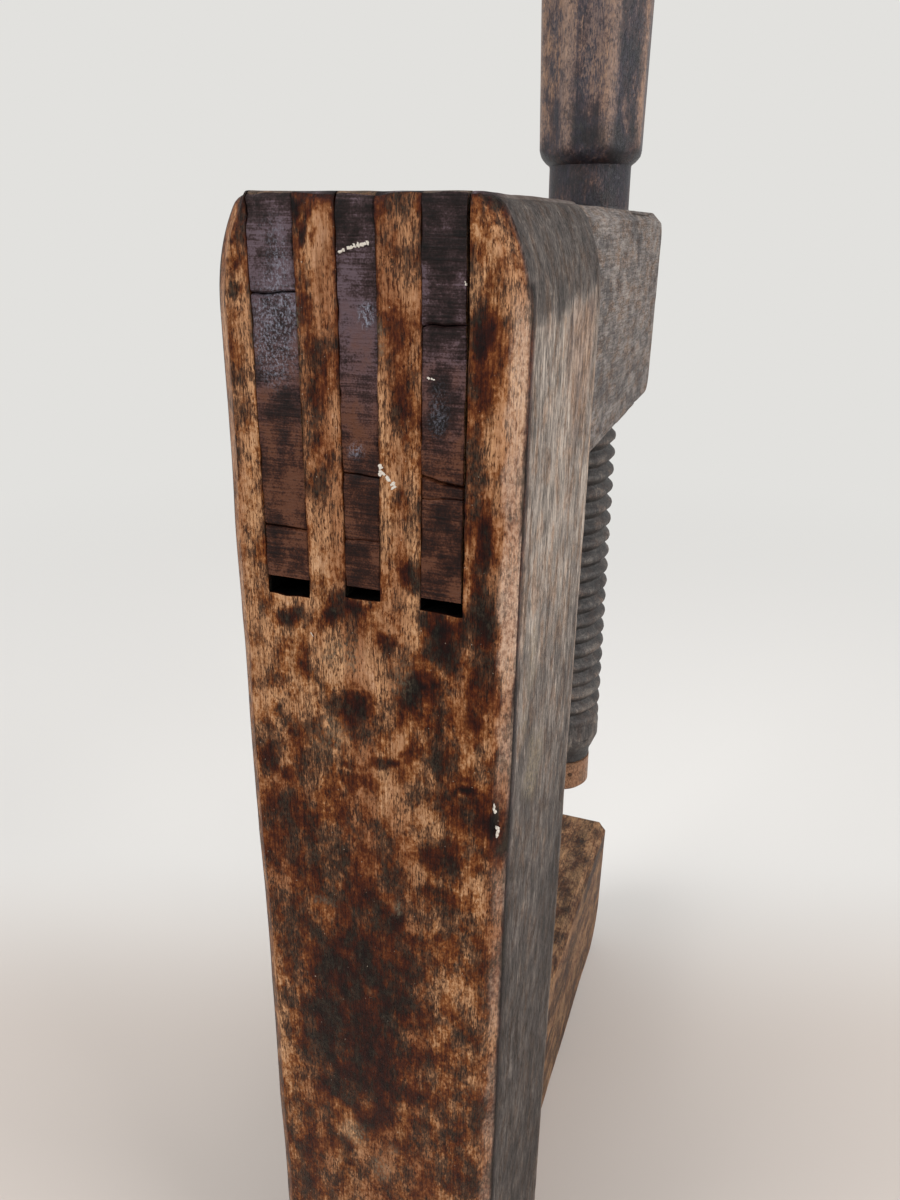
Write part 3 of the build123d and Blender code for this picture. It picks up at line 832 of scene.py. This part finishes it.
def spine_finish(flat, p):
    """Grime with painted shade in the slots, dryness, dust, and polish with a painted highlight on
    the chamfers, from 0 to 1 at each point.
    """
    x, y, z = flat.T
    end = np.minimum(z, TOP - z)
    depth, gap = p[:, 1] - BACK, SIDE - end_inset(end) - np.abs(p[:, 0])
    back = np.clip(1 - depth / 2.5, 0, 1)
    sides = step_between(gap - 0.25 * (depth - SPINE_CHAMFER), 1.0, -0.2) * (depth > 1.5)
    sides = np.where(depth > FRONT - BACK - 2, 1, sides)
    # Darker from the middle of the spine downwards
    grime = 0.1 + 0.17 * step_between(-z, -250, -190)
    grime += 0.12 * noise(flat, (9, 30, 26), 2)[:, 0]
    ragged = 1 + 0.35 * noise(flat, (5, 50, 7), 17)[:, 0]
    ragged += 0.5 * noise(flat, (2.2, 50, 3), 19)[:, 0]
    for sx, sz, rx, rz, amount in BACK_AREAS:
        grime += amount * step_between(ragged - np.hypot((x - sx) / rx, (z - sz) / rz), 0, 0.75)
    for sx, sz, rx, rz, amount in BACK_STAINS:
        grime += amount * blob(flat, sx, sz, rx, rz, 0.6) * back
    for x0, z0, x1, z1, width, amount in BACK_CUTS:
        run, rise = x1 - x0, z1 - z0
        along = np.clip(((x - x0) * run + (z - z0) * rise) / (run**2 + rise**2), 0, 1)
        away = np.hypot(x - x0 - along * run, z - z0 - along * rise)
        grime += amount * np.clip(1.5 - away / width, 0, 1) * back
    border = np.clip(1 - np.min(np.abs(x[:, None] - COMB_EDGES), axis=1) / 0.6, 0, 1)
    grime += 0.25 * border * (end < SLOT_DEPTH)
    ragged = 1 + 0.8 * noise(flat, (2.5, 30, 60), 13)[:, 0]
    grime += 0.5 * np.clip(1 - (TOP - z) / (4.5 * ragged), 0, 1)
    side_grime = 0.1 + 0.16 * noise(flat, (60, 14, 26), 7)[:, 0]
    tide = z - 0.11 * depth + 1.5 * noise(flat, (9, 7, 90), 11)[:, 0]
    side_grime += 0.56 * step_between(tide, 313.5, 316.5)
    side_grime += 0.68 * step_between(-z, -292, -150)
    # A dark line runs down beside each of the chamfers
    line = np.clip(1.6 - np.abs(y - BACK - SPINE_CHAMFER - 0.7) / 0.8, 0, 1) * (z < CRACK_TOP)
    side_grime += 0.9 * line
    # A lighter strip runs along the front arris of each side
    arris = np.clip(1.1 - np.abs(depth - (FRONT - BACK) + 0.5) / 1.1, 0, 1)
    arris *= step_between(-gap, -2.2, -1.2) * step_between(end, 12, 24)
    side_grime -= 0.5 * arris
    # Brown wood still shows through the grey of the side in places
    tan = noise(flat, (40, 9, 16), 23)[:, 0] + 0.02 * (z - 315) * (z < 315)
    tan = step_between(tan, -0.35, 0.35)
    sides *= 1 - 0.3 * tan * (tide < 314) - 0.8 * line
    grime = grime * (1 - sides) + side_grime * sides
    grime += 0.4 * line
    # Painted shade: the slots are painted black inside near their bottoms, where shade falls
    inside = np.any([in_tenon(x, tenon, 0.1) for tenon in TENONS], axis=0)
    grime += 2.0 * inside * (np.abs(end - SLOT_DEPTH) < 3) * step_between(y - BACK, 0.2, 0.8)
    dust = np.zeros(len(x))
    for sx, sz, rx, rz, amount in BACK_MARKS:
        dust = np.maximum(dust, amount * blob(flat, sx, sz, rx, rz) * back)
    spot = np.stack([depth, 0 * x, z], axis=1)
    for sy, sz, ry, rz, amount in SIDE_MARKS:
        dust = np.maximum(dust, amount * blob(spot, sy, sz, ry, rz, 0.5) * (x > 0) * sides)
    # Painted highlight: in places the chamfers are painted lighter, pinker and less grimy, for the
    # light that they catch, more on the right
    wide = 2.2 + 0.8 * step_between(z, 225, 290) + 0.7 * noise(flat, (90, 90, 5), 29)[:, 0]
    chamfer = step_between(gap - wide, 0.4, -0.4) * (depth < 3.4)
    chamfer *= np.where(x > 0, 1, 0.4) * (0.8 + 0.9 * noise(flat, (90, 90, 9), 9)[:, 0]).clip(0, 1)
    chamfer *= step_between(-z, -325, -316) * (0.45 + 0.55 * step_between(z, 215, 270))
    grime -= 0.15 * chamfer
    rubbed = np.maximum(0.75 * chamfer, 0.7 * arris)
    return np.stack([grime, sides + 0.2 * chamfer, dust, rubbed], axis=1)


def arm_finish(flat, p):
    """The same for an arm; on its tenons it is read by the end grain."""
    x, y, h = flat.T
    z = p[:, 2]
    spot = np.stack([x, y, z], axis=1)
    clear = step_between(y, FRONT - 2, FRONT + 2)
    back = np.clip(1 - (y - BACK) / 3, 0, 1)
    grime = 0.1 + 0.15 * noise(flat, (20, 24, 12), 4)[:, 0] + 0.06 * clear
    grime += 0.25 * step_between(z, 322, 334) * (1 - clear)
    dust = np.zeros(len(x))
    # On the tenons' ends these marks become painted glints of light
    for sx, sz, rx, rz, amount in BACK_MARKS:
        dust = np.maximum(dust, amount * blob(spot, sx, sz, rx, rz) * back)
    for sx, sz, rx, rz, amount in TENON_STAINS:
        grime += amount * back * blob(spot, sx, sz, rx, rz, 0.6)
    grime += 0.08 * (x > 11) * (1 - clear)
    # Painted shade: the tenons' ends deep in the slots are painted black
    grime += 2.0 * (1 - clear) * (h > ARM_ROOT - 0.6) * step_between(y - BACK, 0.2, 0.8)
    dry = (0.85 if z.mean() > TOP / 2 else 0.12) * clear
    return np.stack([grime, dry, dust, 0.3 * (1 - clear)], axis=1)


def screw_finish(points):
    """On the handle the corners are rubbed brown and the flats keep blue-black grime; the
    thread is dry and dusty. Points are along the screw's own axis."""
    x, y, z = points.T
    angle = np.arctan2(y, x)
    part = (angle - HANDLE_TURN) % (math.pi / 4)
    corner = np.clip(1 - np.minimum(part, math.pi / 4 - part) / math.radians(11), 0, 1)
    flats = np.floor((angle - HANDLE_TURN) / (math.pi / 4))
    handle = step_between(z, NECK_LENGTH + 2, NECK_LENGTH + 9)
    neck = step_between(z, -1, 0.5) * (1 - handle)
    thread = step_between(-z, -0.5, 0.5)
    uneven = noise(points, (9, 9, 34), 6)[:, 0]
    grime = handle * (0.22 + 0.06 * np.cos(flats * 2.4) + 0.3 * uneven - 0.5 * corner)
    grime += neck * 0.42 + thread * (0.27 + 0.16 * uneven)
    grime += 0.2 * handle * step_between(-z, -NECK_LENGTH - 14, -NECK_LENGTH - 7)
    inner = thread * step_between(-np.hypot(x, y), -CREST + 0.4, -ROOT - 0.2)
    return np.stack([grime + 0.25 * inner, 0.75 * thread, 0 * x, 0.7 * corner * handle], axis=1)


# Pieces


def make_piece(name, points, faces, materials, body, slot, nodes, slots_of, finish):
    """Makes a mesh object, in metres, that rides on a body and stands for CAD nodes."""
    mesh = bpy.data.meshes.new(name)
    mesh.from_pydata((points * MM).tolist(), [], [list(map(int, f)) for f in faces])
    for material in materials:
        mesh.materials.append(material)
    if slots_of is not None:
        mesh.polygons.foreach_set("material_index", slots_of.astype(np.int32))
    layer = mesh.attributes.new("finish", "FLOAT_COLOR", "POINT")
    layer.data.foreach_set("color", np.clip(finish, 0, 2).astype(np.float32).ravel())
    mesh.validate()
    mesh.shade_smooth()
    mesh.set_sharp_from_angle(angle=SHARP_ANGLE)
    piece = bpy.data.objects.new(name, mesh)
    bpy.context.scene.collection.objects.link(piece)
    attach(piece, body)
    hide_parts(*nodes)


def joined(*meshes):
    """One mesh of several, each given as its points and faces."""
    points, faces = np.empty((0, 3)), []
    for more_points, more_faces in meshes:
        faces += [tuple(i + len(points) for i in face) for face in more_faces]
        points = np.concatenate([points, more_points])
    return points, faces


def thread_mesh(material):
    """The helical thread, by Geometry Nodes: a grid whose rows follow the helix, rolled
    round the screw, so that its crest lies along one line of the mesh."""
    tree = bpy.data.node_groups.new("screw_thread", "GeometryNodeTree")
    tree.interface.new_socket("Geometry", in_out="OUTPUT", socket_type="NodeSocketGeometry")
    turns = (THREAD_LENGTH + PITCH) / PITCH
    sizes = {
        "Pitch": PITCH * MM, "Crest radius": CREST * MM, "Root radius": ROOT * MM,
        "Top": THREAD_TOP * MM, "Length": THREAD_LENGTH * MM, "Fade start": THREAD_FADE * MM,
        "Wear": 0.28 * MM,
    }
    counts = {"Rows": round(turns * ROWS_PER_TURN) + 1, "Sides": SCREW_SIDES + 1}
    sockets = {}
    for kind, values in (("NodeSocketFloat", sizes), ("NodeSocketInt", counts)):
        for name in values:
            sockets[name] = tree.interface.new_socket(name, in_out="INPUT", socket_type=kind)
    grid_inputs, merge_inputs = ("Vertices X", "Vertices Y"), ("Geometry", "Distance")
    add_steps(tree, [
        ("given", ("NodeGroupInput", (), {})),
        ("grid", ("GeometryNodeMeshGrid", grid_inputs, {}), "given.Rows", "given.Sides"),
        ("at", ("GeometryNodeInputPosition", (), {})),
        ("on grid", SPLIT, "at"),
        ("u", PLUS, "on grid.X", 0.5),
        ("v", PLUS, "on grid.Y", 0.5),
        # Height along the helix, held between the thread's two ends
        ("bottom", MINUS, "given.Top", "given.Length"),
        ("whole", PLUS, "given.Length", "given.Pitch"),
        ("along", TIMES, "u", "whole"),
        ("start", MINUS, "bottom", "given.Pitch"),
        ("row", PLUS, "start", "along"),
        ("lead", TIMES, "v", "given.Pitch"),
        ("height", PLUS, "row", "lead"),
        ("below top", LOWER, "height", "given.Top"),
        ("level", HIGHER, "below top", "bottom"),
        ("on screw", SAME, "height", "level", 1e-7),
        # The wave of the thread, shallower at its ends
        ("turns", OVER, "along", "given.Pitch"),
        ("turn", PART, "turns"),
        ("twice", TIMES, "turn", 2.0),
        ("wave", SWING, "twice", 1.0),
        ("missing", RANGE, "wave", ROOT_SHARE, CREST_SHARE, 1.0, 0.0),
        ("fade end", MINUS, "given.Fade start", "given.Pitch"),
        ("low fade", RANGE, "level", "fade end", "given.Fade start"),
        ("near top", MINUS, "given.Top", "given.Pitch"),
        ("top fade", RANGE, "level", "near top", "given.Top", 1.0, 0.15),
        ("fade", TIMES, "low fade", "top fade"),
        ("depth", MINUS, "given.Crest radius", "given.Root radius"),
        ("sunk", TIMES, "depth", "missing"),
        ("faded", TIMES, "sunk", "fade"),
        ("radius", MINUS, "given.Crest radius", "faded"),
        # Chips and wear, then the roll round the axis
        ("angle", TIMES, "v", 2 * math.pi),
        ("across", COSINE, "angle"),
        ("beside", SINE, "angle"),
        ("upright", OVER, "level", "given.Crest radius"),
        ("spot", JOINED, "across", "beside", "upright"),
        ("chips", NOISE, "spot", 3.5, 3.0),
        ("chipped", RANGE, "chips", 0.4, 0.8),
        ("worn", TIMES, "chipped", "given.Wear"),
        ("worn radius", MINUS, "radius", "worn"),
        ("reach", TIMES, "worn radius", "on screw"),
        ("x", TIMES, "reach", "across"),
        ("y", TIMES, "reach", "beside"),
        ("place", JOINED, "x", "y", "level"),
        ("moved", ("GeometryNodeSetPosition", ("Geometry", "Position"), {}), "grid", "place"),
        ("closed", ("GeometryNodeMergeByDistance", merge_inputs, {}), "moved", 0.002 * MM),
        ("turned", ("GeometryNodeFlipFaces", ("Mesh",), {}), "closed"),
        ("real", ("GeometryNodeRealizeInstances", (0,), {}), "turned"),
        ("dressed", ("GeometryNodeSetMaterial", ("Geometry", "Material"), {}), "real", material),
        ("output", ("NodeGroupOutput", (0,), {}), "dressed"),
    ])
    holder = bpy.data.objects.new("thread", bpy.data.meshes.new("thread"))
    bpy.context.scene.collection.objects.link(holder)
    modifier = holder.modifiers.new("thread", "NODES")
    modifier.node_group = tree
    for name, value in {**sizes, **counts}.items():
        modifier[sockets[name].identifier] = value
    ready = holder.evaluated_get(bpy.context.evaluated_depsgraph_get())
    mesh = bpy.data.meshes.new_from_object(ready)
    holder.modifiers.clear()
    points = np.empty(len(mesh.vertices) * 3, np.float32)
    mesh.vertices.foreach_get("co", points)
    faces = [tuple(face.vertices) for face in mesh.polygons]
    bpy.data.objects.remove(holder)
    return points.reshape(-1, 3).astype(float) / MM, faces


def paint_flakes(points):
    """Ragged flakes along each splash, domed and set on the back where it stands highest."""
    chance = np.random.default_rng(7)
    flakes, faces, sides = [], [], 9
    back = points[points[:, 1] < BACK + 1.5]
    for x0, z0, x1, z1, width, count in PAINT:
        lean = math.atan2(z1 - z0, x1 - x0)
        stretch = math.hypot(x1 - x0, z1 - z0) / count
        for share in (np.arange(count) + 0.5) / count:
            x, z = x0 + share * (x1 - x0), z0 + share * (z1 - z0)
            x, z = (x, z) + chance.normal(0, width / 7, 2)
            y = back[np.hypot(back[:, 0] - x, back[:, 2] - z) < 1.2, 1].min()
            long, wide = stretch * chance.uniform(0.5, 1.1), width * chance.uniform(0.2, 0.6)
            first = len(flakes)
            flakes.append((x, y - 0.1, z))
            for height, reach in ((-0.07, 0.75), (0.4, 1.0)):
                for angle in np.arange(sides) * 2 * math.pi / sides:
                    ragged = reach * chance.uniform(0.5, 1.3)
                    a, b = ragged * long * math.cos(angle), ragged * wide * math.sin(angle)
                    across = a * math.cos(lean) - b * math.sin(lean)
                    along = a * math.sin(lean) + b * math.cos(lean)
                    flakes.append((x + across, y + height, z + along))
            last = len(flakes)
            flakes.append((x, y + 0.4, z))
            for i in range(sides):
                a, b = first + 1 + i, first + 1 + (i + 1) % sides
                faces += [(first, a, b), (a, a + sides, b + sides, b), (last, b + sides, a + sides)]
    return np.array(flakes), faces


spine_beech = worn_wood("spine_beech", BEECH)
arm_beech = worn_wood("arm_beech", ARM_BEECH)
hornbeam = worn_wood("screw_hornbeam", HORNBEAM)
shoe_wood = worn_wood("shoe_wood", SHOE_WOOD)
oiled_ends = end_grain("oiled_end_grain")
pin_iron = rusted_iron("pin_iron")

flat, points, quads, axes = spine_shape()
flakes, flake_faces = paint_flakes(np.concatenate([points, arm_shape(True)[1]]))
make_piece(
    "spine_worn", *joined((points, quads), (np.maximum(flakes, spine_low), flake_faces)),
    [spine_beech, oiled_ends, dried_paint("dried_paint")], "frame", "spine_beech", ["spine"],
    np.concatenate([axes == 2, np.full(len(flake_faces), 2)]),
    np.concatenate([spine_finish(flat, points), np.zeros((len(flakes), 4))]),
)
for upper, name in ((True, "upper_arm"), (False, "lower_arm")):
    flat, points, quads, axes = arm_shape(upper)
    make_piece(
        name + "_worn", points, quads, [arm_beech, oiled_ends], "frame", "arm_beech", [name],
        axes == 1, arm_finish(flat, points),
    )

points, faces = joined(
    thread_mesh(hornbeam),
    lathe(handle_profile(), SCREW_SIDES, handle_radius),
    lathe(nose_profile(), SCREW_SIDES, lambda r, a, h: np.full(len(a), r)),
)
make_piece(
    "screw_worn", place_on_screw(points), faces, [hornbeam], "screw", "screw_hornbeam",
    ["screw"], None, screw_finish(points),
)

bare_nodes = {"shoe": shoe_wood, "shoe_pin_left": pin_iron, "shoe_pin_right": pin_iron}
for name, material in bare_nodes.items():
    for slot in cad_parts[name].material_slots:
        slot.material = material

# Stage

BACKDROP, SKY = hex_colour("E2E1DE"), hex_colour("F4F5F6")
FLOOR_NEAR, FLOOR_FAR = hex_colour("C9BFB7"), hex_colour("DEDBD7")
FLOOR_HALF = 6.0
VIEW_TURN, VIEW_PITCH, VIEW_ROLL = (math.radians(angle) for angle in (19.593, 22.320, 0.873))

# A matt studio floor. Far off, it passes into the backdrop without a line
floor_material = make_material("pale_floor", [
    ("place", ("ShaderNodeTexCoord", (), {})),
    ("turned", TURNED, "place.Object", (0, 0, -VIEW_TURN)),
    ("ahead", SPLIT, "turned"),
    ("far", SMOOTH, "ahead.Y", 0.02, 0.16),
    ("colour", BLEND, "far", FLOOR_NEAR, FLOOR_FAR),
    ("shader", SHADER, "colour", 0.8),
    ("rays", ("ShaderNodeLightPath", (), {})),
    ("seen", HIGHER, "rays.Is Camera Ray", "rays.Is Glossy Ray"),
    ("distance", ("ShaderNodeVectorMath", (0,), {"operation": "LENGTH"}), "place.Object"),
    ("beyond", SMOOTH, "distance.Value", 0.25, 1.1),
    ("away", TIMES, "beyond", "seen"),
    ("backdrop", ("ShaderNodeEmission", (0,), {}), BACKDROP),
    ("mixed", MIXED_SHADER, "away", "shader", "backdrop"),
    ("output", OUTPUT, "mixed"),
])
floor_mesh = bpy.data.meshes.new("floor")
corners = [(x * FLOOR_HALF, y * FLOOR_HALF, 0) for x, y in ((-1, -1), (1, -1), (1, 1), (-1, 1))]
floor_mesh.from_pydata(corners, [], [(0, 1, 2, 3)])
floor_mesh.materials.append(floor_material)
floor = bpy.data.objects.new("floor", floor_mesh)
bpy.context.scene.collection.objects.link(floor)

world = bpy.data.worlds.new("studio")
bpy.context.scene.world = world
world.use_nodes = True
world.node_tree.nodes.clear()
add_steps(world.node_tree, [
    ("rays", ("ShaderNodeLightPath", (), {})),
    ("lit", ("ShaderNodeBackground", (0, 1), {}), SKY, 0.75),
    ("shown", ("ShaderNodeBackground", (0, 1), {}), BACKDROP, 1.0),
    ("mixed", MIXED_SHADER, "rays.Is Camera Ray", "lit", "shown"),
    ("output", ("ShaderNodeOutputWorld", (0,), {}), "mixed"),
])


def soft_light(name, place, aim, size, power):
    """A square studio lamp, turned towards the point that it lights."""
    lamp = bpy.data.lights.new(name, "AREA")
    lamp.shape = "SQUARE"
    lamp.size = size
    lamp.energy = power
    holder = bpy.data.objects.new(name, lamp)
    holder.location = place
    direction = Matrix.Translation(aim).translation - Matrix.Translation(place).translation
    holder.rotation_euler = direction.to_track_quat("-Z", "Y").to_euler()
    bpy.context.scene.collection.objects.link(holder)


soft_light("window_left", (-0.9, -1.0, 1.1), (0, 0, 0.2), 1.0, 14)
soft_light("window_right", (1.3, -0.3, 0.9), (0, 0, 0.2), 1.0, 17)

# The camera is solved from the straight edges of the frame in the photo
camera_data = bpy.data.cameras.new("camera")
camera_data.sensor_width = 36
camera_data.lens = 27.397
camera = bpy.data.objects.new("camera", camera_data)
turn = (
    Matrix.Rotation(VIEW_TURN, 4, "Z")
    @ Matrix.Rotation(math.pi / 2 - VIEW_PITCH, 4, "X")
    @ Matrix.Rotation(VIEW_ROLL, 4, "Z")
)
camera.matrix_world = Matrix.Translation((0.07025, -0.26053, 0.33172)) @ turn
bpy.context.scene.collection.objects.link(camera)
bpy.context.scene.camera = camera
bpy.context.scene.view_settings.view_transform = "Standard"
